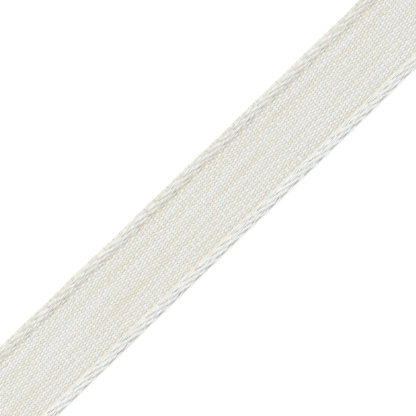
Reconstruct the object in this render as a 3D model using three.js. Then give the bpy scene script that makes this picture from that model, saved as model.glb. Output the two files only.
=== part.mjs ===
// Woven border tape: one flat cut length of ivory cotton and linen tape, lying face up.
// The ground is a warp-faced plain weave. Along each side runs a raised, cord-like selvedge in a
// 3/1 twill, whose floats rise and sink in slanting lobes. X runs along the tape, Y across it and
// Z up, with the origin under the middle of the tape and the underside flat on Z = 0.
import * as THREE from "three";

// Driving dimensions, in millimetres.
const LENGTH = 300;
const WIDTH = 38;
const GROUND_THICKNESS = 1.6;
const WIDTH_LOST_PER_MM = 0.0024; // the tape narrows a little from -X to +X
const TWILL_REPEATS = 41; // along the length, each of four picks
const TWILL_REPEAT = LENGTH / TWILL_REPEATS;
const TWILL_LEAN = 3.6; // how far along X a twill line runs for each millimetre across Y
const TWILL_START = 0.8; // X where a lobe crests on the middle line, if it ran that far in
const STEPS_PER_REPEAT = 6; // sections in one repeat
const FOOT_INSET = 0.7; // how far in from the edge the flat underside starts
const CLOTH_COLOUR = 0xe4e3da;

// The selvedge from its outer flank to the groove beside the ground. inset is measured in from
// the edge, height up from the underside, and lobe is half the rise and fall of the twill.
const SELVEDGE = [
  { inset: 0.0, height: 1.0, lobe: 0.0 },
  { inset: 0.45, height: 1.75, lobe: 0.1 },
  { inset: 1.3, height: 2.2, lobe: 0.16 },
  { inset: 2.2, height: 2.4, lobe: 0.18 },
  { inset: 3.1, height: 2.3, lobe: 0.18 },
  { inset: 4.0, height: 1.95, lobe: 0.15 },
  { inset: 5.0, height: 1.5, lobe: 0.04 },
];

// Places across the ground, from +Y to -Y, where a section has a point.
const GROUND_ROWS = [6.5, 0, -6.5];

// The slow wander of each edge, out from its straight line: phase is in degrees at X = 0.
const UPPER_WANDER = [
  { wavelength: 34, swing: 0.11, phase: -27 },
  { wavelength: 54, swing: 0.08, phase: 99 },
  { wavelength: 134, swing: 0.04, phase: -132 },
];
const LOWER_WANDER = [
  { wavelength: 135, swing: 0.08, phase: -52 },
  { wavelength: 84, swing: 0.045, phase: -159 },
  { wavelength: 30, swing: 0.04, phase: -139 },
];

// How far the edge on one side stands from the middle line at x.
function edgeDistance(x, wander) {
  const straight = (WIDTH - WIDTH_LOST_PER_MM * x) / 2;
  const swings = wander.map(({ wavelength, swing, phase }) => {
    const angle = (2 * Math.PI * x) / wavelength + THREE.MathUtils.degToRad(phase);
    return swing * Math.sin(angle);
  });
  return straight + swings.reduce((sum, swing) => sum + swing, 0);
}

// One selvedge's points at x, from its outer flank inwards. side is 1 at +Y and -1 at -Y.
// The twill lines lean the same way on both sides, as they do in one loom's weave.
function selvedgePoints(x, side) {
  const edge = edgeDistance(x, side > 0 ? UPPER_WANDER : LOWER_WANDER);
  return SELVEDGE.map(({ inset, height, lobe }) => {
    const y = side * (edge - inset);
    const turn = (2 * Math.PI * (x + TWILL_LEAN * y - TWILL_START)) / TWILL_REPEAT;
    return new THREE.Vector3(x, y, height + lobe * Math.cos(turn));
  });
}

// The closed outline of the tape at x: up the +Y flank, over the face to -Y, then the two feet
// of the flat underside.
function sectionPoints(x) {
  const upper = selvedgePoints(x, 1);
  const lower = selvedgePoints(x, -1).reverse();
  const ground = GROUND_ROWS.map((y) => new THREE.Vector3(x, y, GROUND_THICKNESS));
  const lowerFoot = new THREE.Vector3(x, lower[lower.length - 1].y + FOOT_INSET, 0);
  const upperFoot = new THREE.Vector3(x, upper[0].y - FOOT_INSET, 0);
  return [...upper, ...ground, ...lower, lowerFoot, upperFoot];
}

// The tape's skin: each section is joined to the next all the way round, and the two cut ends
// are closed with flat faces.
function tapeGeometry() {
  const steps = TWILL_REPEATS * STEPS_PER_REPEAT;
  const sections = [];
  for (let i = 0; i <= steps; i += 1) {
    sections.push(sectionPoints(-LENGTH / 2 + (LENGTH * i) / steps));
  }
  const ring = sections[0].length;
  const faces = [];
  for (let i = 0; i < steps; i += 1) {
    for (let j = 0; j < ring; j += 1) {
      const a = i * ring + j;
      const b = i * ring + ((j + 1) % ring);
      faces.push(a, b, a + ring, b, b + ring, a + ring);
    }
  }
  const last = steps * ring;
  const endOutline = (section) => section.map(({ y, z }) => new THREE.Vector2(y, z));
  for (const [a, b, c] of THREE.ShapeUtils.triangulateShape(endOutline(sections[0]), [])) {
    faces.push(c, b, a);
  }
  for (const [a, b, c] of THREE.ShapeUtils.triangulateShape(endOutline(sections[steps]), [])) {
    faces.push(last + a, last + b, last + c);
  }
  const geometry = new THREE.BufferGeometry().setFromPoints(sections.flat());
  geometry.setIndex(faces);
  geometry.computeVertexNormals();
  return geometry;
}

const cloth = new THREE.MeshStandardMaterial({
  color: CLOTH_COLOUR,
  roughness: 0.95,
  metalness: 0,
});

const tape = new THREE.Mesh(tapeGeometry(), cloth);
tape.name = "woven_trim";

const trim = new THREE.Group();
trim.add(tape);

export default trim;
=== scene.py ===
"""Looks of a woven border tape: a flat cut length with a plain-weave ground and twill selvedges.

Every warp end is a yarn of its own, carried over and under one closed layer of weft. Shapes are
worked out in millimetres, as whole arrays, and become metres when their mesh is made. X runs along
the tape, Y across it to the wrapped selvedge, and Z up out of the face.
"""

import bpy
import numpy as np
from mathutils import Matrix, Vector


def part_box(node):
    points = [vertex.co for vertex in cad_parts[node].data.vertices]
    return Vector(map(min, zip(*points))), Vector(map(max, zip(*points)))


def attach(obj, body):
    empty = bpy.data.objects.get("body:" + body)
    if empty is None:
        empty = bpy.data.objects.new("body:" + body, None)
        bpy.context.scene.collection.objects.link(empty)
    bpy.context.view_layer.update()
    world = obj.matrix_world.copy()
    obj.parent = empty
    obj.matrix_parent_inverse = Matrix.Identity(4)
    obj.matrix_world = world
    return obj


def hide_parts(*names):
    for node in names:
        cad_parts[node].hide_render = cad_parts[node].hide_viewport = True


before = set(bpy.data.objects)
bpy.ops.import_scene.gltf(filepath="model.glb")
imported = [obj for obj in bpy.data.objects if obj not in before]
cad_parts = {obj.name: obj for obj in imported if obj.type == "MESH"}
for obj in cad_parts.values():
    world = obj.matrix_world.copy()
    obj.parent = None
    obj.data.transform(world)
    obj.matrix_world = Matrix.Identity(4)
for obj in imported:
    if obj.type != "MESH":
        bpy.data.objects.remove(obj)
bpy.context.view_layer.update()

NODE = "woven_trim"
BODY = "root"
MM = 0.001

# The solid's own sizes, in millimetres.
LOW, HIGH = (np.array(corner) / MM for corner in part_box(NODE))
START, LENGTH = LOW[0], HIGH[0] - LOW[0]
WIDTH = 38.0
WIDTH_LOST_PER_MM = 0.0024
UPPER_WANDER = ((34, 0.11, -27), (54, 0.08, 99), (134, 0.04, -132))  # wavelength, swing, degrees
LOWER_WANDER = ((135, 0.08, -52), (84, 0.045, -159), (30, 0.04, -139))

# The weave.
PICKS = 164
PICK = LENGTH / PICKS
TWILL_PICKS = 4  # picks in one repeat of the selvedges' 3/1 twill

# The ground.
GROUND_ENDS = 45
GROUND_MIDDLE = 0.8  # height of the ground's middle layer
GROUND_RISE = 0.31  # how far a ground end swings up and down from it
GROUND_THICK = 0.23  # half the thickness of a ground end
GROUND_FLATTEN = 0.3  # how much a float's crest is flattened
FLOAT_WIDE, CROSSING_WIDE = 0.75, 0.31  # half its width where it floats, and between picks
FLOAT_SHARPNESS = 3  # how quickly it narrows from the crest: a power of the swing
OUTER_NARROWER = 0.3  # share by which the ends beside the selvedges are narrower
# Painted highlight and painted shade: a yarn is whiter at a float's crest and creamier where it sinks
# between floats, standing in for the shade of the hollows.
FLOAT_PAINTED_SHADE = 0.42  # how much whiter a float's crest is than the yarn sunk between floats

# The selvedges.
UPPER_WIDTH, LOWER_WIDTH = 5.25, 5.04  # at +Y and at -Y
SELVEDGE_THICK = 0.27  # half the thickness of a selvedge end
SELVEDGE_THIN, SELVEDGE_SWELL = 0.85, 0.2  # share of it at a dive, and what mid-float adds
SELVEDGE_WIDE, SELVEDGE_NARROW = 0.36, 0.21  # half its width, mid-float and at its dive
SELVEDGE_BULGE = 0.12  # how far it leans out over a neighbour's dive
# A selvedge's face ends: the inset of each; how far past its dive, in picks, its float is widest, and
# over how many picks each way; how far the float's ends lie under that; and the depth and whiteness
# of the pit where it dives, the whiteness being painted shade in the pit, mostly darker than the
# core. Then the pick at which the outermost one dives, and how white a float's crest is, from 0 for
# cream to 1 for white.
UPPER_ENDS = (
    (1.78, 2.3, 1.5, 0.04, 0.0, 0.8),
    (2.28, 2.2, 1.5, 0.08, 0.35, 0.2),
    (2.78, 2.1, 1.0, 0.14, 0.15, 0.3),
    (3.38, 1.95, 1.3, 0.1, 0.14, 0.4),
    (3.82, 2.2, 1.2, 0.1, 0.2, 0.2),
    (4.25, 2.5, 1.0, 0.16, 0.3, 0.0),
    (4.85, 2.4, 1.0, 0.2, 0.2, 0.0),
)
UPPER_DIVE, UPPER_FACE_TONE = 1.74, 0.85
LOWER_ENDS = (
    (0.4, 1.9, 1.3, 0.3, 0.4, 0.0),
    (0.86, 2.15, 1.3, 0.32, 0.75, -0.1),
    (1.3, 2.15, 1.5, 0.1, 0.3, 0.6),
    (1.76, 2.1, 1.6, 0.1, 0.3, 0.7),
    (2.18, 2.1, 1.6, 0.12, 0.25, 0.8),
    (2.64, 2.15, 1.5, 0.14, 0.35, 0.2),
    (3.2, 2.3, 1.2, 0.2, 0.6, -0.5),
    (3.6, 2.05, 1.5, 0.16, 0.3, 0.1),
    (4.15, 1.9, 1.7, 0.1, 0.15, 0.9),
    (4.66, 2.3, 1.5, 0.2, 0.1, 0.8),
)
LOWER_DIVE, LOWER_FACE_TONE = 0.57, 1.1
PIT_REACH = 0.9  # in picks each way
RIDGE_FOOT, RIDGE_TOP, GROOVE = 1.0, 2.4, 1.7  # heights of the face at the flank, crest and groove
RIDGE_CREST, RIDGE_WIDTH = 2.4, 5.15  # insets of the crest and of the groove
RIDGE_POWER = 2.5  # how square its shoulder is: 2 would make it a part of an ellipse
CREST_LIFT = 0.08  # how far a float's middle stands up from it
FLOOR_GAP = 0.03  # the least height of a selvedge end's underside

# The weft's turns round each edge: an ellipse's middle, as an inset and a height, and how far it
# reaches out and climbs. Then how white they are; the lower turns, on the side away from the key, are
# darker as painted shade.
UPPER_TURN, UPPER_TURN_TONE = (1.2, 1.2, 1.2, 0.95), 0.8
LOWER_TURN, LOWER_TURN_PAINTED_SHADE = (1.1, 0.7, 0.79, 0.45), 0.2
TURN_WIDE, TURN_THICK = 0.6, 0.12  # half the width and thickness of a strand
TURN_STRANDS, TURN_APART = 2, 0.5  # strands to a pick, and the share of a pick between them
TURN_FROM, TURN_TO = 48, 262  # the part of the ellipse that a strand follows, in degrees

# The weft layer.
WEFT_THICK, WEB_THICK = 0.34, 0.04  # half the layer's thickness, at a pick and between picks
# Painted shade: the weft is creamier in the web between picks than on the ribs' crests.
WEB_PAINTED_SHADE = 0.25  # how white it is between picks
LAYER_SHORT = 0.4  # how far short of the solid's its cut ends are
LAYER_RIM, LAYER_INNER = (0.35, 0.5, 0.8, 1.05), 5.4  # insets of its points beside the face ends
LAYER_GAP = 0.2  # the least distance from the rim's last point to the next
TURN_CLEAR = (0.06, 0.08)  # how far it stays inside the weft's turns, outwards and upwards
RIM_LIMIT = 0.995  # how far out on the turns' ellipse it may lie, so that it keeps a thickness
# How far the selvedge's core lies under its face away from the pits, how much more where the
# floats sink, and how high the picks stand up in it.
CORE_DEPTH, CORE_SINK, CORE_RIB = 0.32, 0.6, 0.1
CORE_BOTTOM, CORE_BOTTOM_RIB = 0.26, 0.2  # height of its underside, and how far the picks hang down
CORE_FADE = 0.5  # the width over which it thins out into the ground
# The groove's lower whiteness is painted shade in the groove.
CORE_TONE, GROOVE_PAINTED_SHADE = 0.8, 0.4  # how white it is away from the pits, and at the groove

# Unevenness. A spacing is how far apart along X the random knots lie; one with no spacing changes
# from pick to pick, or else from yarn to yarn.
FRAY = 0.35  # the most that a cut end is short by
PLUMP, PLUMP_SPACING = 0.05, 2.5  # share of any yarn's width
GROUND_WANDER, WANDER_SPACING = 0.04, 7.0  # a ground end's place
FLOAT_LIFT, FLOAT_SWAY, FLOAT_SHIFT = 0.035, 0.06, 0.05  # a float's height, place, and crest in picks
END_TONE, SLOW_TONE, SLOW_SPACING, PICK_TONE = 0.05, 0.14, 25.0, 0.06  # a ground end's whiteness
SELVEDGE_SHIFT, SHIFT_SPACING = 0.2, 2 * PICK  # a selvedge end's dives, in picks
SELVEDGE_SWAY, SWAY_SPACING = 0.1, 3.0  # its place
SELVEDGE_LIFT = 0.07  # its height
SELVEDGE_END_TONE, SELVEDGE_PICK_TONE = 0.1, 0.3  # its whiteness
TURN_SHIFT, TURN_LEAN, TURN_REACH, TURN_PLUMP, TURN_TONE = 0.07, 0.12, 0.05, 0.08, 0.15

# Steps and sides: how finely each shape is drawn.
GROUND_STEPS, GROUND_SIDES = 4, 6
SELVEDGE_STEPS, SELVEDGE_SIDES = 4, 8
TURN_STEPS, TURN_SIDES = 11, 6
LAYER_STEPS, LAYER_GROUND_COLUMNS = 6, 8
SLOPE_STEP = 0.02  # for the slope of the ridge's face

# Where the creamy and the white streaks of the ground run, in millimetres from the middle line.
CREAM_STREAKS = (13.5, 11.8, 7.9, 5.8, 0.2, -4.3, -6.8, -10.1, -13.1)
WHITE_STREAKS = (12.8, 10.9, 6.8, 4.7, -1.1, -5.9, -8.3, -11.1)
STREAK_BASE, STREAK_WIDTH, STREAK_GAIN = 0.62, 0.5, 0.62

# Colours: creamy and white yarn, and the weft's shaded sides and its crests.
WARP_COLOURS = (0.785, 0.75, 0.65, 1), (0.83, 0.845, 0.84, 1)
FACE_COLOURS = (0.79, 0.755, 0.66, 1), (0.86, 0.875, 0.87, 1)
# The turns' creamy colour is dark enough to serve as the lower turns' painted shade.
TURN_COLOURS = (0.60, 0.56, 0.48, 1), (0.79, 0.775, 0.695, 1)
WEFT_COLOURS = (0.69, 0.595, 0.44, 1), (0.82, 0.81, 0.77, 1)

# Finishes. A scale is how many times in a metre the noise repeats, for each axis.
PLIES, WARP_TWIST, TURN_TWIST = 2, 1.6, 1.2  # millimetres in which a ply goes once round
WARP_FIBRES, WEFT_FIBRES = (500, 2600, 2600), (5200, 500, 2600)
FIBRE_DETAIL = {"Detail": 3.0, "Roughness": 0.6}
CLOUDS = (25, 160, 160)
YARN_FIBRE_GAIN, WEFT_FIBRE_GAIN, CLOUD_GAIN = 1.0, 0.9, 0.8
PLY_GROOVE = 0.35  # how deep the plies' grooves are beside the fibres
YARN_BUMP, WEFT_BUMP = {"Strength": 0.6, "Distance": 0.00005}, {"Strength": 0.8, "Distance": 0.00008}

# The photograph's view, in metres and degrees.
FRAME_WIDTH = 0.178
TAPE_SLANT = 44.0
CAMERA_HEIGHT = 1.0

# Light and floor.
KEY_SIZE, KEY_DISTANCE, KEY_ENERGY = 0.8, 1.2, 5.6
KEY_ELEVATION, KEY_SWING = 50.0, -14.0  # degrees above the floor, and round from +Y towards +X
KEY_COLOUR = (1.0, 0.985, 0.96)
SURROUND_COLOUR, SURROUND_STRENGTH = (0.97, 0.985, 1.0, 1.0), 0.8
FLOOR_COLOUR, FLOOR_HALF, FLOOR_GLOW = (0.8, 0.8, 0.8, 1.0), 1.5, 0.35

SEED = 20


def edge_distance(x, wander):
    """How far an edge stands from the middle line at x: half the tapering width, plus its slow
    wander as a sum of sines."""
    swings = sum(s * np.sin(2 * np.pi * x / w + np.radians(p)) for w, s, p in wander)
    return (WIDTH - WIDTH_LOST_PER_MM * x) / 2 + swings


def side_edge(x, side):
    """The signed Y of the edge at x, on the +Y side or the -Y side."""
    return side * edge_distance(x, UPPER_WANDER if side > 0 else LOWER_WANDER)


def ridge_face(inset):
    """The height of a selvedge's face at an inset from its edge: a quarter of a squarish ellipse
    up from the flank to the crest, then half a cosine wave down to the groove."""
    inset = np.clip(inset, 0.0, RIDGE_WIDTH)
    out = np.clip(1 - inset / RIDGE_CREST, 0, 1)
    rise = (1 - out**RIDGE_POWER) ** (1 / RIDGE_POWER)
    rising = RIDGE_FOOT + (RIDGE_TOP - RIDGE_FOOT) * rise
    run = np.clip((inset - RIDGE_CREST) / (RIDGE_WIDTH - RIDGE_CREST), 0, 1)
    falling = GROOVE + (RIDGE_TOP - GROOVE) * (1 + np.cos(np.pi * run)) / 2
    return np.where(inset < RIDGE_CREST, rising, falling)


def pick_phase(x):
    """How many picks lie before x: a whole number where a pick crosses."""
    return (x - START) / PICK - 0.5


def uneven(rng, rows, x, spacing):
    """Smooth random unevenness, a row for each yarn: random knots every spacing millimetres along
    x, eased from one to the next with half a cosine wave."""
    knots = rng.standard_normal((rows, int(LENGTH / spacing) + 4))
    place = (x - x.min()) / spacing + rng.random((rows, 1))
    left = np.floor(place).astype(int)
    ease = (1 - np.cos(np.pi * (place - left))) / 2
    row = np.arange(rows)[:, None]
    return knots[row, left] * (1 - ease) + knots[row, left + 1] * ease


def yarn_places(rng, count, steps):
    """Where each of count warp yarns has its rings along X: steps to a pick, with a crest on a
    ring, and each cut end a little short of the solid's."""
    x = START + PICK * np.arange(PICKS * steps + 1) / steps + np.zeros((count, 1))
    x[:, 0] += FRAY * rng.random(count)
    x[:, -1] -= FRAY * rng.random(count)
    return x


def near_pick(past, reach=1):
    """1 where past is a whole number of twill repeats, easing to 0 over reach picks each way."""
    past = (past + TWILL_PICKS / 2) % TWILL_PICKS - TWILL_PICKS / 2
    return np.cos(np.pi * np.clip(past / reach, -1, 1) / 2) ** 2


def unit(v):
    """The vectors in v, each at length one."""
    return v / np.linalg.norm(v, axis=-1, keepdims=True)


def past_dive(x, side, ends, first_dive):
    """For each face end, how many picks x lies past the place where that end dives. Each end
    inwards dives one pick further towards +X at +Y, and towards -X at -Y."""
    return pick_phase(x) - (first_dive + side * np.arange(len(ends))[:, None])


def tubes(centre, side, wide, thick, tone, sides):
    """Closed yarns, all with the same number of rings. A ring is an ellipse about its centre, wide
    along side and thick along the direction square to side and to the yarn's run, with one tone;
    each end is closed by a fan on its own centre point. Returns points, quads, triangles, each
    corner's place along and round its yarn, and each face's yarn."""
    yarns, rings = centre.shape[:2]
    run = unit(np.gradient(centre, axis=1))
    up = unit(np.cross(run, side))
    across = np.cross(up, run)
    turn = 2 * np.pi * np.arange(sides) / sides
    ring = across[:, :, None] * (wide[:, :, None, None] * np.cos(turn)[:, None])
    ring = ring + up[:, :, None] * (thick[:, :, None, None] * np.sin(turn)[:, None])
    skin = (centre[:, :, None] + ring).reshape(-1, 3)
    caps = centre[:, [0, -1]].reshape(-1, 3)
    yarn = np.arange(yarns)[:, None, None] * rings * sides
    i = np.arange(rings - 1)[None, :, None] * sides
    j = np.arange(sides)[None, None, :]
    k = (j + 1) % sides
    quads = np.stack([yarn + i + j, yarn + i + k, yarn + i + sides + k, yarn + i + sides + j], -1)
    first, last = yarn[:, 0], yarn[:, 0] + (rings - 1) * sides
    tip = len(skin) + 2 * np.arange(yarns)[:, None]
    near = np.stack([np.broadcast_to(tip, (yarns, sides)), first + k[0], first + j[0]], -1)
    far = np.stack([np.broadcast_to(tip + 1, (yarns, sides)), last + j[0], last + k[0]], -1)
    along = np.linspace(0, 1, rings)
    quad_uv = np.empty((yarns, rings - 1, sides, 4, 2))
    for corner, (di, dj) in enumerate(((0, 0), (0, 1), (1, 1), (1, 0))):
        quad_uv[..., corner, 0] = along[di : di + rings - 1, None]
        quad_uv[..., corner, 1] = (np.arange(sides) + dj) / sides
    tri_uv = np.zeros((2, yarns, sides, 3, 2))
    tri_uv[1, ..., 0] = 1
    for corner, dj in ((1, 1), (2, 0)):
        tri_uv[0, :, :, corner, 1] = (np.arange(sides) + dj) / sides
        tri_uv[1, :, :, corner, 1] = (np.arange(sides) + 1 - dj) / sides
    tri_uv[..., 0, 1] = 0.5
    return {
        "points": np.concatenate([skin, caps]),
        "quads": quads.reshape(-1, 4),
        "tris": np.concatenate([near, far]).reshape(-1, 3),
        "quad_uv": quad_uv.reshape(-1, 4, 2),
        "tri_uv": tri_uv.reshape(-1, 3, 2),
        "quad_yarn": np.repeat(np.arange(yarns), (rings - 1) * sides),
        "tri_yarn": np.tile(np.repeat(np.arange(yarns), sides), 2),
        "tone": np.concatenate([np.repeat(tone.ravel(), sides), tone[:, [0, -1]].ravel()]),
        "yarns": yarns,
        "lengths": np.linalg.norm(np.diff(centre, axis=1), axis=-1).sum(1),
    }


def mesh_piece(name, points, quads, tris, uvs, tone, material):
    """A smooth-shaded piece from whole arrays. Points are in millimetres; uvs maps a map's name to
    its places, a row for each corner; tone is one value for each point."""
    mesh = bpy.data.meshes.new(name)
    corners = np.concatenate([quads.ravel(), tris.ravel()]).astype(np.int32)
    sizes = np.concatenate([np.full(len(quads), 4), np.full(len(tris), 3)])
    starts = np.concatenate([[0], np.cumsum(sizes)[:-1]]).astype(np.int32)
    mesh.vertices.add(len(points))
    mesh.vertices.foreach_set("co", (points * MM).astype(np.float32).ravel())
    mesh.loops.add(len(corners))
    mesh.loops.foreach_set("vertex_index", corners)
    mesh.polygons.add(len(sizes))
    mesh.polygons.foreach_set("loop_start", starts)
    mesh.update(calc_edges=True)
    mesh.polygons.foreach_set("use_smooth", np.ones(len(sizes), dtype=bool))
    for map_name, places in uvs.items():
        layer = mesh.uv_layers.new(name=map_name)
        layer.data.foreach_set("uv", places.astype(np.float32).ravel())
    layer = mesh.attributes.new("tone", "FLOAT", "POINT")
    layer.data.foreach_set("value", tone.astype(np.float32))
    mesh.materials.append(material)
    piece = bpy.data.objects.new(name, mesh)
    bpy.context.scene.collection.objects.link(piece)
    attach(piece, BODY)
    return piece


def yarn_piece(name, yarns, material):
    """A piece of yarns from tubes(). Its first map lays each yarn out as a strip of its own, for
    the finish to be baked into; the second gives millimetres along and turns round, for the
    twist of the yarn's plies."""
    strip = np.concatenate([yarns["quad_uv"].reshape(-1, 2), yarns["tri_uv"].reshape(-1, 2)])
    corner_yarn = np.concatenate([np.repeat(yarns["quad_yarn"], 4), np.repeat(yarns["tri_yarn"], 3)])
    margin = 0.04
    laid = strip.copy()
    laid[:, 1] = (corner_yarn + margin + strip[:, 1] * (1 - 2 * margin)) / yarns["yarns"]
    twist = strip.copy()
    twist[:, 0] *= yarns["lengths"][corner_yarn]
    uvs = {"OFBake": laid, "Yarn": twist}
    return mesh_piece(
        name, yarns["points"], yarns["quads"], yarns["tris"], uvs, yarns["tone"], material
    )


def streak_tones(rng, y):
    """How white each ground end is, from 0 for cream to 1 for white: an even base, a creamy or a
    white streak where the photograph has one, and a little chance."""
    tone = STREAK_BASE + END_TONE * rng.standard_normal(y.shape)
    for places, gain in ((CREAM_STREAKS, -STREAK_GAIN), (WHITE_STREAKS, STREAK_GAIN)):
        for place in places:
            tone = tone + gain * np.exp(-(((y - place) / STREAK_WIDTH) ** 2))
    return tone


def ground_ends(rng, first, count):
    """Plain-weave warp ends, counted from the lower selvedge. Each swings over and under the picks as
    a cosine with flattened tops, its neighbours a pick out of step, and is widest where it floats. It
    is also whitest where it floats and creamier where it sinks, as painted highlight and painted
    shade following the float's height."""
    x = yarn_places(rng, count, GROUND_STEPS)

    def chance(spacing=PICK):
        """Unevenness along these yarns, from pick to pick unless a spacing is given."""
        return uneven(rng, count, x[0], spacing)

    end = first + np.arange(count)[:, None]
    lower = side_edge(x, -1) + LOWER_WIDTH
    upper = side_edge(x, 1) - UPPER_WIDTH
    y = lower + (upper - lower) * (end + 0.5) / GROUND_ENDS
    y = y + GROUND_WANDER * chance(WANDER_SPACING) + FLOAT_SWAY * chance()
    swing = np.cos(np.pi * (pick_phase(x) + end + 1 + FLOAT_SHIFT * chance()))
    swing = swing * (1 + GROUND_FLATTEN - GROUND_FLATTEN * swing**2)
    rise = GROUND_RISE + FLOAT_LIFT * chance()
    z = GROUND_MIDDLE + rise * swing
    plump = 1 + PLUMP * chance(PLUMP_SPACING)
    float_share = np.abs(swing) ** FLOAT_SHARPNESS
    wide = (CROSSING_WIDE + (FLOAT_WIDE - CROSSING_WIDE) * float_share) * plump
    wide = wide * (1 - OUTER_NARROWER * np.isin(end, (0, GROUND_ENDS - 1)))
    thick = GROUND_THICK * np.sqrt(plump)
    side = np.broadcast_to([0.0, 1.0, 0.0], (*x.shape, 3))
    tone = streak_tones(rng, y[:, :1]) + SLOW_TONE * chance(SLOW_SPACING)
    # Painted shade and highlight: creamier where the end sinks, whiter at its crest.
    tone = tone + PICK_TONE * chance() + FLOAT_PAINTED_SHADE * (swing - 1) / 2
    return tubes(np.stack([x, y, z], -1), side, wide, thick, tone, GROUND_SIDES)


def selvedge_ends(rng, side, ends, first_dive, whiteness):
    """The face ends of one selvedge, from the outermost inwards. Each lies on the ridge's face for
    three picks, swelling to the middle of its float, and dives under the fourth, but never into the
    floor. It whitens to the middle of its float and is creamier towards its dive, as painted
    highlight and painted shade. Its neighbour's dive is one pick along, so the floats line up in
    slanting lobes."""
    count = len(ends)
    x = yarn_places(rng, count, SELVEDGE_STEPS)

    def chance(spacing=PICK):
        """Unevenness along these yarns, from pick to pick unless a spacing is given."""
        return uneven(rng, count, x[0], spacing)

    place, middle, reach, sink, pit = np.array(ends).T[:5, :, None]
    past = past_dive(x, side, ends, first_dive) + SELVEDGE_SHIFT * chance(SHIFT_SPACING)
    dive, outward, inward = (near_pick(past + shift) for shift in (0, side, -side))
    swell = near_pick(past - middle, reach)
    inset = place + SELVEDGE_BULGE * (inward - outward) + SELVEDGE_SWAY * chance(SWAY_SPACING)
    slope = (ridge_face(inset + SLOPE_STEP) - ridge_face(inset - SLOPE_STEP)) / (2 * SLOPE_STEP)
    normal = unit(np.stack([0 * x, side * slope, 1 + 0 * x], -1))
    across = np.cross(normal, [1.0, 0.0, 0.0])
    plump = 1 + PLUMP * chance(PLUMP_SPACING)
    wide = (SELVEDGE_NARROW + (SELVEDGE_WIDE - SELVEDGE_NARROW) * swell) * plump
    thick = SELVEDGE_THICK * (SELVEDGE_THIN + SELVEDGE_SWELL * swell) * np.sqrt(plump)
    face = np.stack([x, side_edge(x, side) - side * inset, ridge_face(inset)], -1)
    depth = SELVEDGE_THICK - CREST_LIFT * swell + sink * (1 - swell) + (pit + CORE_DEPTH) * dive
    depth = depth + SELVEDGE_LIFT * chance()
    centre = face - normal * depth[..., None]
    centre[..., 2] = np.maximum(centre[..., 2], thick + FLOOR_GAP)
    tone = SELVEDGE_END_TONE * rng.standard_normal((count, 1)) + SELVEDGE_PICK_TONE * chance()
    # Painted shade and highlight: creamier away from the float's middle, whiter at it.
    tone = whiteness + tone + FLOAT_PAINTED_SHADE * (swell - 1)
    return tubes(centre, across, wide, thick, tone, SELVEDGE_SIDES)


def weft_turns(rng, side, turn, whiteness):
    """Where the weft wraps one edge: a few strands to a pick, each bent round the edge on an
    ellipse from inside the ridge's face, out past the flank and back in underneath."""
    middle_inset, middle_height, reach, climb = turn
    picks = np.repeat(np.arange(PICKS), TURN_STRANDS)
    strand = np.tile(np.arange(TURN_STRANDS) - (TURN_STRANDS - 1) / 2, PICKS)
    count = len(picks)

    def chance():
        """A random number for each strand."""
        return rng.standard_normal((count, 1))

    bend = np.radians(np.linspace(TURN_FROM, TURN_TO, TURN_STEPS))
    x = (START + (picks + 0.5 + strand * TURN_APART) * PICK)[:, None] + TURN_SHIFT * chance()
    swell = 1 + TURN_REACH * chance()
    x = x + TURN_LEAN * np.cos(bend) * chance()
    inset = middle_inset + reach * swell * np.cos(bend)
    z = middle_height + climb * np.sin(bend) + 0 * x
    centre = np.stack([x, side_edge(x, side) - side * inset, z], -1)
    along_x = np.broadcast_to([1.0, 0.0, 0.0], centre.shape)
    wide = TURN_WIDE * (1 + TURN_PLUMP * chance()) * np.ones_like(x)
    thick = np.full_like(x, TURN_THICK)
    tone = whiteness + TURN_TONE * chance() + 0 * x
    return tubes(centre, along_x, wide, thick, tone, TURN_SIDES)


def selvedge_core(x, rib, web, side, ends, first_dive, turn):
    """The weft layer in one selvedge, from its edge inwards: the Y, top, bottom and whiteness of its
    columns along x. There is a column under each face end, with a pit where the end dives. The
    whiteness is lowered in the pits and at the groove as painted shade."""
    middle_inset, middle_height, reach, climb = turn
    ends = np.array(ends)
    kept = ends[:, 0] > LAYER_RIM[-1] + LAYER_GAP
    inset = np.concatenate([LAYER_RIM, ends[kept, 0], [LAYER_INNER]])
    rim = len(LAYER_RIM)
    pit = np.zeros((len(x), len(inset)))
    pit[:, rim:-1] = near_pick(past_dive(x.T, side, ends, first_dive), PIT_REACH).T[:, kept]
    sink, deep, white = (np.concatenate([np.zeros(rim), ends[kept, k], [0]]) for k in (3, 4, 5))
    # Painted shade: the weft darkens in each pit and at the groove.
    tone = CORE_TONE + (white - CORE_TONE) * pit
    tone[:, -1] = GROOVE_PAINTED_SHADE
    core = np.clip((RIDGE_WIDTH - inset) / CORE_FADE, 0, 1)
    face = ridge_face(inset) - CORE_DEPTH - CORE_SINK * sink - deep * pit + CORE_RIB * rib
    top = (GROUND_MIDDLE + web) * (1 - core) + face * core
    bottom = (GROUND_MIDDLE - web) * (1 - core) + (CORE_BOTTOM - CORE_BOTTOM_RIB * rib) * core
    out = np.clip((middle_inset - inset) / (reach - TURN_CLEAR[0]), 0, RIM_LIMIT)
    arc = (climb - TURN_CLEAR[1]) * np.sqrt(1 - out**2)
    top = np.where(out > 0, middle_height + arc, top)
    bottom = np.where(out > 0, middle_height - arc, bottom)
    return side_edge(x, side) - side * inset, top, bottom, tone


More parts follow.
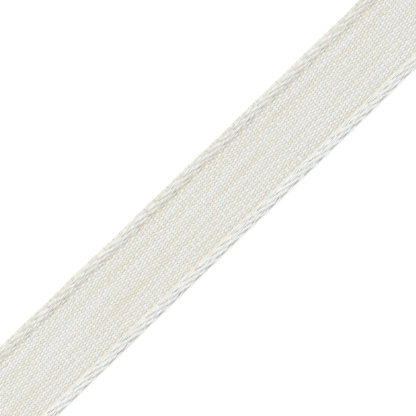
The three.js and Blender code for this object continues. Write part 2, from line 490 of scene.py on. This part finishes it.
def weft_layer(material):
    """The weft as one closed layer: rounded ribs, one to a pick, with a thin web between them. In
    the ground it lies round the middle of the cloth; under each selvedge it thickens into the core
    that the face ends lie on, and rounds off just inside the weft's turns."""
    steps = PICKS * LAYER_STEPS
    x = np.linspace(START + LAYER_SHORT, START + LENGTH - LAYER_SHORT, steps + 1)[:, None]
    rib = np.cos(np.pi * pick_phase(x)) ** 2
    web = WEB_THICK + (WEFT_THICK - WEB_THICK) * rib
    lower = selvedge_core(x, rib, web, -1, LOWER_ENDS, LOWER_DIVE, LOWER_TURN)
    upper = selvedge_core(x, rib, web, 1, UPPER_ENDS, UPPER_DIVE, UPPER_TURN)
    middle = np.linspace(-1, 1, LAYER_GROUND_COLUMNS)[1:-1] * (WIDTH / 2 - LAYER_INNER) + 0 * x
    heights = (GROUND_MIDDLE + sign * web + 0 * middle for sign in (1, -1))
    # Painted shade: the ground's weft darkens in the web between the ribs.
    ground = (middle, *heights, WEB_PAINTED_SHADE + (1 - WEB_PAINTED_SHADE) * rib + 0 * middle)
    y, top, bottom, tone = (
        np.concatenate([a, b, c[:, ::-1]], 1) for a, b, c in zip(lower, ground, upper)
    )
    x = x + 0 * y
    rings, columns = y.shape
    points = np.concatenate(
        [np.stack([x, y, top], -1), np.stack([x, y, bottom], -1)[:, ::-1]], 1
    ).reshape(-1, 3)
    loop = 2 * columns
    i = np.arange(rings - 1)[:, None] * loop
    j = np.arange(loop)[None, :]
    k = (j + 1) % loop
    skin = np.stack([i + j, i + loop + j, i + loop + k, i + k], -1).reshape(-1, 4)
    c = np.arange(columns - 1)
    cap = np.stack([c, c + 1, loop - 2 - c, loop - 1 - c], -1)
    far = (rings - 1) * loop + cap[:, ::-1]
    quads = np.concatenate([skin, cap, far])
    tris = np.zeros((0, 3), dtype=int)
    tone = np.concatenate([tone, tone[:, ::-1]], 1).ravel()
    return mesh_piece("weft_layer", points, quads, tris, {}, tone, material)


def add(tree, kind, inputs=None, **settings):
    """A new node with its settings, and its inputs set to a value or linked from a socket."""
    node = tree.nodes.new(kind)
    for setting, value in settings.items():
        setattr(node, setting, value)
    for socket, value in (inputs or {}).items():
        if isinstance(value, bpy.types.NodeSocket):
            tree.links.new(value, node.inputs[socket])
        else:
            node.inputs[socket].default_value = value
    return node


def sum_of(tree, operation, *values, clamp=False):
    """The result of one arithmetic operation on sockets and numbers."""
    inputs = dict(enumerate(values))
    return add(tree, "ShaderNodeMath", inputs, operation=operation, use_clamp=clamp).outputs[0]


def noise(tree, scale, detail):
    """Noise over the object's own metres, with a scale for each axis."""
    place = add(tree, "ShaderNodeTexCoord").outputs["Object"]
    stretched = add(tree, "ShaderNodeMapping", {"Vector": place, "Scale": scale}).outputs[0]
    inputs = {"Vector": stretched, "Scale": 1.0, **detail}
    return add(tree, "ShaderNodeTexNoise", inputs).outputs["Fac"]


def shader_of(material):
    """The material's node tree and its one shader, set to the dry look of spun yarn."""
    material.use_nodes = True
    shader = material.node_tree.nodes["Principled BSDF"]
    shader.inputs["Roughness"].default_value = 0.9
    shader.inputs["Specular IOR Level"].default_value = 0.2
    shader.inputs["Sheen Weight"].default_value = 0.1
    shader.inputs["Sheen Roughness"].default_value = 0.5
    return material.node_tree, shader


def tinted(tree, shader, colours, tone, fibres, gain):
    """Links the shader's colour to a mix of two, by a tone made a little uneven by the fibres."""
    off = sum_of(tree, "SUBTRACT", fibres, 0.5)
    share = sum_of(tree, "MULTIPLY_ADD", off, gain, tone, clamp=True)
    mixed = add(
        tree, "ShaderNodeMix", {"Factor": share, 6: colours[0], 7: colours[1]}, data_type="RGBA"
    )
    tree.links.new(mixed.outputs[2], shader.inputs["Base Color"])


def roughened(tree, shader, height, strength):
    """Links the shader's normal to a bump of this height."""
    bump = add(tree, "ShaderNodeBump", {"Height": height, **strength})
    tree.links.new(bump.outputs[0], shader.inputs["Normal"])


def yarn_finish(name, colours, twist_length):
    """Spun, plied yarn. Its colour runs from cream to white with the yarn's tone, with broad
    clouds and with fine streaks of fibre. Its bump is the slanting grooves between its plies, a
    sine of the distance along the yarn plus the turn round it, with fibre noise over it."""
    material = bpy.data.materials.new(name)
    tree, shader = shader_of(material)
    tone = add(tree, "ShaderNodeAttribute", attribute_name="tone").outputs["Fac"]
    fibres = noise(tree, WARP_FIBRES, FIBRE_DETAIL)
    cloud = sum_of(tree, "SUBTRACT", noise(tree, CLOUDS, {"Detail": 1.0}), 0.5)
    tone = sum_of(tree, "MULTIPLY_ADD", cloud, CLOUD_GAIN, tone)
    tinted(tree, shader, colours, tone, fibres, YARN_FIBRE_GAIN)
    run = add(tree, "ShaderNodeUVMap", uv_map="Yarn").outputs[0]
    along, around = add(tree, "ShaderNodeSeparateXYZ", {0: run}).outputs[:2]
    around = sum_of(tree, "MULTIPLY", around, 2 * np.pi * PLIES)
    lay = sum_of(tree, "MULTIPLY_ADD", along, 2 * np.pi * PLIES / twist_length, around)
    grooves = sum_of(tree, "SINE", lay)
    height = sum_of(tree, "MULTIPLY_ADD", grooves, PLY_GROOVE, fibres)
    roughened(tree, shader, height, YARN_BUMP)
    return material


def weft_finish(name, colours):
    """The weft between the warp's floats: strands of fibre that run across the tape."""
    material = bpy.data.materials.new(name)
    tree, shader = shader_of(material)
    tone = add(tree, "ShaderNodeAttribute", attribute_name="tone").outputs["Fac"]
    fibres = noise(tree, WEFT_FIBRES, FIBRE_DETAIL)
    tinted(tree, shader, colours, tone, fibres, WEFT_FIBRE_GAIN)
    roughened(tree, shader, fibres, WEFT_BUMP)
    return material


def make_camera():
    """Straight above the middle of the tape, turned so that the tape rises to the right."""
    camera = bpy.data.cameras.new("camera")
    camera.sensor_width = 36.0
    camera.lens = camera.sensor_width * CAMERA_HEIGHT / FRAME_WIDTH
    camera.clip_end = 10
    holder = bpy.data.objects.new("camera", camera)
    holder.location = (0, 0, CAMERA_HEIGHT)
    holder.rotation_euler = (0, 0, -np.radians(TAPE_SLANT))
    bpy.context.scene.collection.objects.link(holder)
    bpy.context.scene.camera = holder


def make_light():
    """A broad soft key from beyond the wrapped selvedge, and an even, pale surround."""
    key = bpy.data.lights.new("key", "AREA")
    key.shape = "DISK"
    key.size = KEY_SIZE
    key.energy = KEY_ENERGY
    key.color = KEY_COLOUR
    holder = bpy.data.objects.new("key", key)
    slope = np.radians(KEY_ELEVATION)
    swing = np.radians(KEY_SWING)
    aim = Vector((np.sin(swing) * np.cos(slope), np.cos(swing) * np.cos(slope), np.sin(slope)))
    holder.location = aim * KEY_DISTANCE
    holder.rotation_mode = "QUATERNION"
    holder.rotation_quaternion = aim.to_track_quat("Z", "Y")
    bpy.context.scene.collection.objects.link(holder)
    world = bpy.data.worlds.new("surround")
    world.use_nodes = True
    background = world.node_tree.nodes["Background"]
    background.inputs["Color"].default_value = SURROUND_COLOUR
    background.inputs["Strength"].default_value = SURROUND_STRENGTH
    bpy.context.scene.world = world


def make_floor():
    """A plain, nearly white floor that the tape lies on."""
    material = bpy.data.materials.new("pale_floor")
    shader = shader_of(material)[1]
    shader.inputs["Base Color"].default_value = FLOOR_COLOUR
    shader.inputs["Sheen Weight"].default_value = 0.0
    shader.inputs["Emission Color"].default_value = (1, 1, 1, 1)
    shader.inputs["Emission Strength"].default_value = FLOOR_GLOW
    mesh = bpy.data.meshes.new("floor")
    s = FLOOR_HALF
    mesh.from_pydata([(-s, -s, 0), (s, -s, 0), (s, s, 0), (-s, s, 0)], [], [(0, 1, 2, 3)])
    mesh.materials.append(material)
    piece = bpy.data.objects.new("floor", mesh)
    bpy.context.scene.collection.objects.link(piece)


make_camera()
make_floor()
make_light()

rng = np.random.default_rng(SEED)
warp_yarn = yarn_finish("warp_yarn", WARP_COLOURS, WARP_TWIST)
face_yarn = yarn_finish("selvedge_yarn", FACE_COLOURS, WARP_TWIST)
turn_yarn = yarn_finish("weft_turn_yarn", TURN_COLOURS, TURN_TWIST)
weft = weft_finish("weft_yarn", WEFT_COLOURS)

half = GROUND_ENDS // 2
for name, first, count in (
    ("ground_ends_lower", 0, half),
    ("ground_ends_upper", half, GROUND_ENDS - half),
):
    yarn_piece(name, ground_ends(rng, first, count), warp_yarn)
for name, side, ends, dive, whiteness in (
    ("selvedge_ends_upper", 1, UPPER_ENDS, UPPER_DIVE, UPPER_FACE_TONE),
    ("selvedge_ends_lower", -1, LOWER_ENDS, LOWER_DIVE, LOWER_FACE_TONE),
):
    yarn_piece(name, selvedge_ends(rng, side, ends, dive, whiteness), face_yarn)
for name, side, turn, whiteness in (
    ("weft_turns_upper", 1, UPPER_TURN, UPPER_TURN_TONE),
    ("weft_turns_lower", -1, LOWER_TURN, LOWER_TURN_PAINTED_SHADE),
):
    yarn_piece(name, weft_turns(rng, side, turn, whiteness), turn_yarn)

layer = weft_layer(weft)
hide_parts(NODE)

scene = bpy.context.scene
scene.view_settings.view_transform = "Standard"
scene.view_settings.look = "None"
